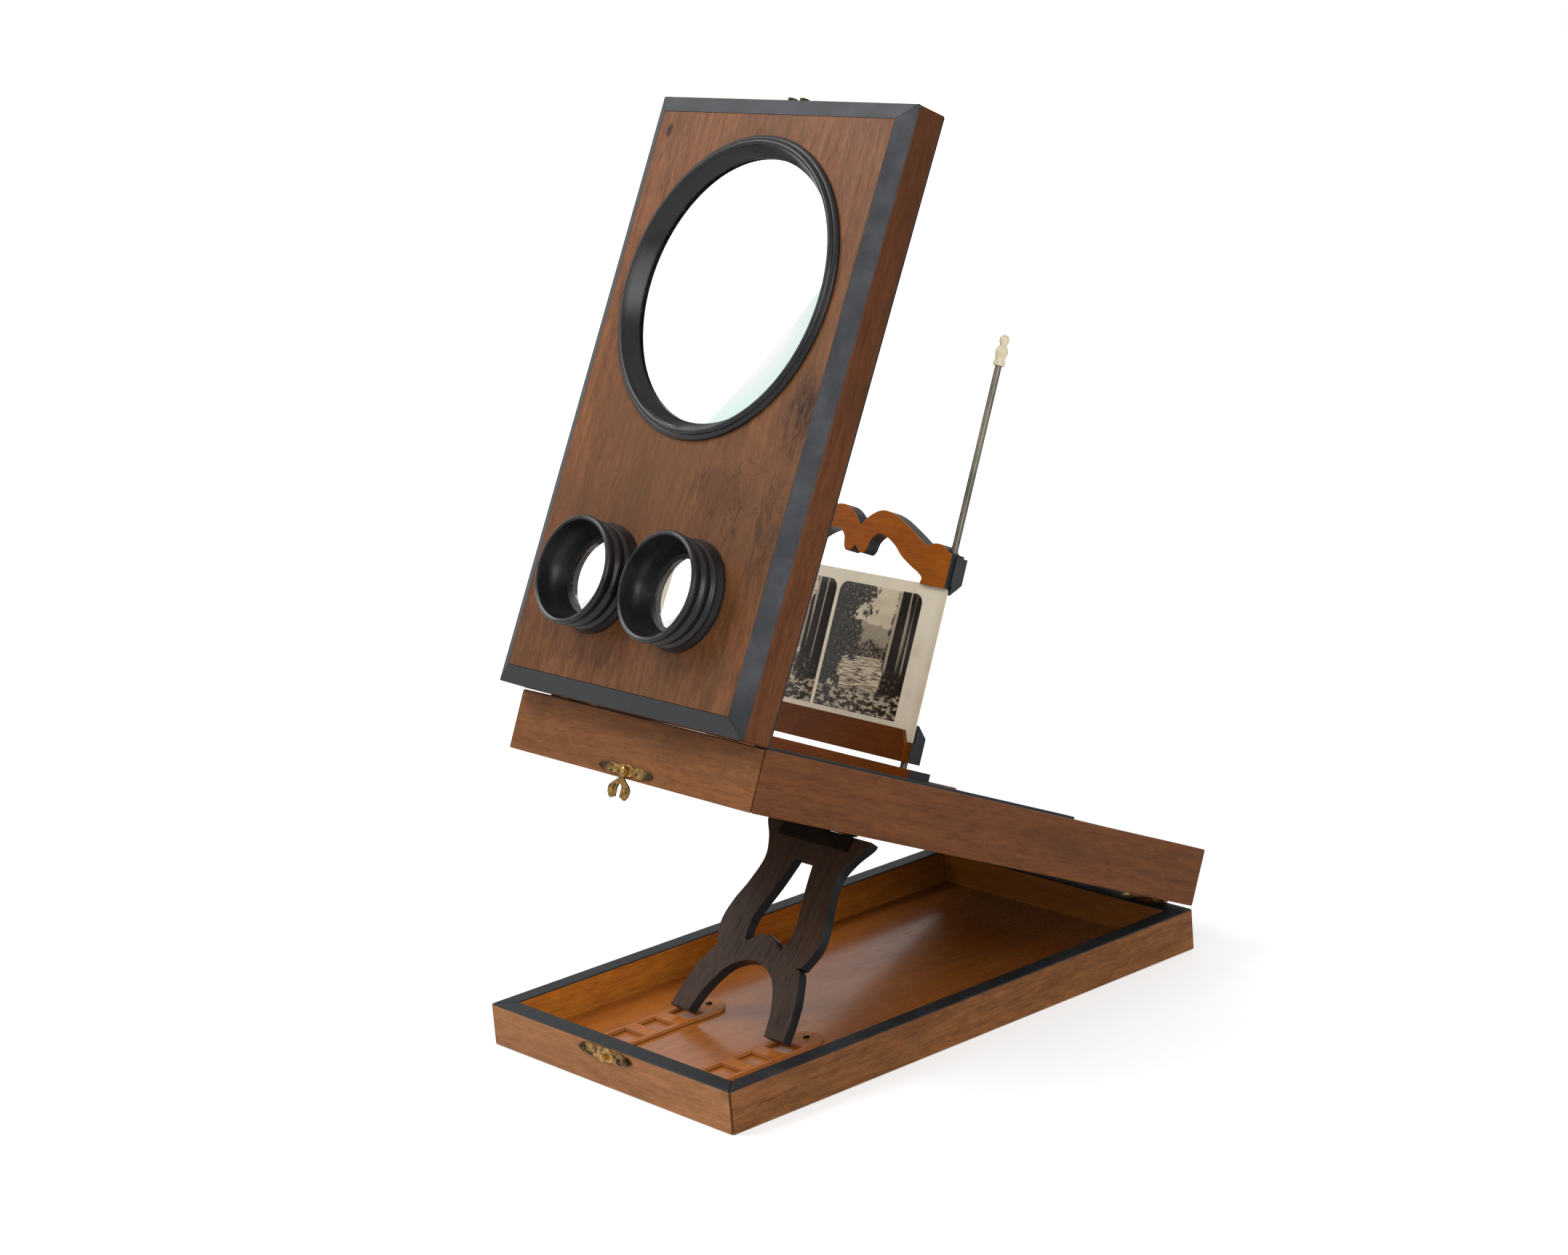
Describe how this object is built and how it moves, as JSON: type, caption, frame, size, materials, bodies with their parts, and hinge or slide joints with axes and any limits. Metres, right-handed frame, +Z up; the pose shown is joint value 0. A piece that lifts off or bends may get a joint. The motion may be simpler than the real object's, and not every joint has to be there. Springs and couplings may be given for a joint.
{
  "type": "graphoscope",
  "caption": "Folding viewer: a lens panel with a large magnifier and stereo eyepieces stands on a propped tray that carries a sliding picture holder.",
  "frame": {"origin": "centre of the base box's underside, where it rests on the table", "axes": "+X to the user's right, -Y towards the user, +Z up"},
  "size_m": [0.216, 0.3777, 0.5245],
  "materials": {
    "walnut": "worn wax polish",
    "varnished_rosewood": "glossy varnish",
    "ebonised": "satin black",
    "dark_wood": "satin",
    "tarnished_brass": "tarnished",
    "bone": "polished",
    "lens_glass": "clear",
    "card": "matt"
  },
  "bodies": {
    "base": {"base_front_board": "walnut", "base_rear_board": "walnut", "base_left_board": "walnut", "base_right_board": "walnut", "base_floor": "varnished_rosewood", "rack_left": "varnished_rosewood", "rack_right": "varnished_rosewood", "rack_screw_left": "tarnished_brass", "rack_screw_right": "tarnished_brass", "keeper_plate": "tarnished_brass", "keeper_stud": "tarnished_brass", "keeper_screw_left": "tarnished_brass", "keeper_screw_right": "tarnished_brass", "rear_hinge_left_fixed_leaf": "tarnished_brass", "rear_hinge_right_fixed_leaf": "tarnished_brass"},
    "tray": {"tray_front_board": "walnut", "tray_rear_board": "walnut", "tray_left_board": "walnut", "tray_right_board": "walnut", "tray_deck": "varnished_rosewood", "tray_underboard": "walnut", "runner_left": "ebonised", "runner_right": "ebonised", "rear_hinge_left_moving_leaf": "tarnished_brass", "rear_hinge_right_moving_leaf": "tarnished_brass", "hook_plate": "tarnished_brass", "hook_pivot_screw": "tarnished_brass", "panel_hinge_left_fixed_leaf": "tarnished_brass", "panel_hinge_right_fixed_leaf": "tarnished_brass", "strut_hinge_fixed_leaf": "tarnished_brass"},
    "strut": {"strut": "dark_wood", "strut_hinge_moving_leaf": "tarnished_brass"},
    "lens_panel": {"lens_board": "walnut", "panel_bottom_board": "walnut", "panel_right_board": "walnut", "panel_top_board": "walnut", "panel_left_board": "walnut", "border_bottom": "ebonised", "border_right": "ebonised", "border_top": "ebonised", "border_left": "ebonised", "lens_ring": "ebonised", "magnifying_lens": "lens_glass", "lens_retainer": "ebonised", "eyepiece_left": "ebonised", "eyepiece_right": "ebonised", "eye_lens_left": "lens_glass", "eye_lens_right": "lens_glass", "panel_catch": "tarnished_brass", "panel_hinge_left_moving_leaf": "tarnished_brass", "panel_hinge_right_moving_leaf": "tarnished_brass"},
    "hook": {"hook": "tarnished_brass"},
    "carriage": {"slide_bar": "ebonised"},
    "holder": {"rod_left": "tarnished_brass", "rod_right": "tarnished_brass", "finial_left": "bone", "finial_right": "bone"},
    "lower_rail": {"lower_rail": "varnished_rosewood", "stereo_card": "card"},
    "upper_rail": {"upper_rail": "varnished_rosewood"}
  },
  "joints": [
    {"name": "tray_hinge", "type": "hinge", "parent": "base", "child": "tray", "pos_m": [0, 0.1823, 0.02535], "axis": [1, 0, 0], "range_deg": [0, 23.5]},
    {"name": "strut_hinge", "type": "hinge", "parent": "tray", "child": "strut", "pos_m": [0, -0.01094, 0.10834], "axis": [1, 0, 0], "range_deg": [-73.2, 0]},
    {"name": "lens_panel_hinge", "type": "hinge", "parent": "tray", "child": "lens_panel", "pos_m": [0, -0.12965, 0.20355], "axis": [1, 0, 0], "range_deg": [-75, 0]},
    {"name": "carriage_slide", "type": "slide", "parent": "tray", "child": "carriage", "axis": [0, -0.915, 0.4035], "range_m": [-0.06, 0.08]},
    {"name": "holder_fold", "type": "hinge", "parent": "carriage", "child": "holder", "pos_m": [0, -0.01146, 0.15425], "axis": [1, 0, 0], "range_deg": [-90, 0]},
    {"name": "lower_rail_slide", "type": "slide", "parent": "holder", "child": "lower_rail", "axis": [0, 0.4035, 0.915], "range_m": [0, 0.045]},
    {"name": "upper_rail_slide", "type": "slide", "parent": "lower_rail", "child": "upper_rail", "axis": [0, 0.4035, 0.915], "range_m": [0, 0.055]},
    {"name": "hook_swing", "type": "hinge", "parent": "tray", "child": "hook", "pos_m": [0, -0.14723, 0.17599], "axis": [0, -0.915, 0.4035], "range_deg": [0, 75]}
  ],
  "couplings": [
    {"joint": "strut_hinge", "follows": "tray_hinge", "ratio": -3.11},
    {"joint": "holder_fold", "follows": "lens_panel_hinge", "ratio": 1.2}
  ]
}
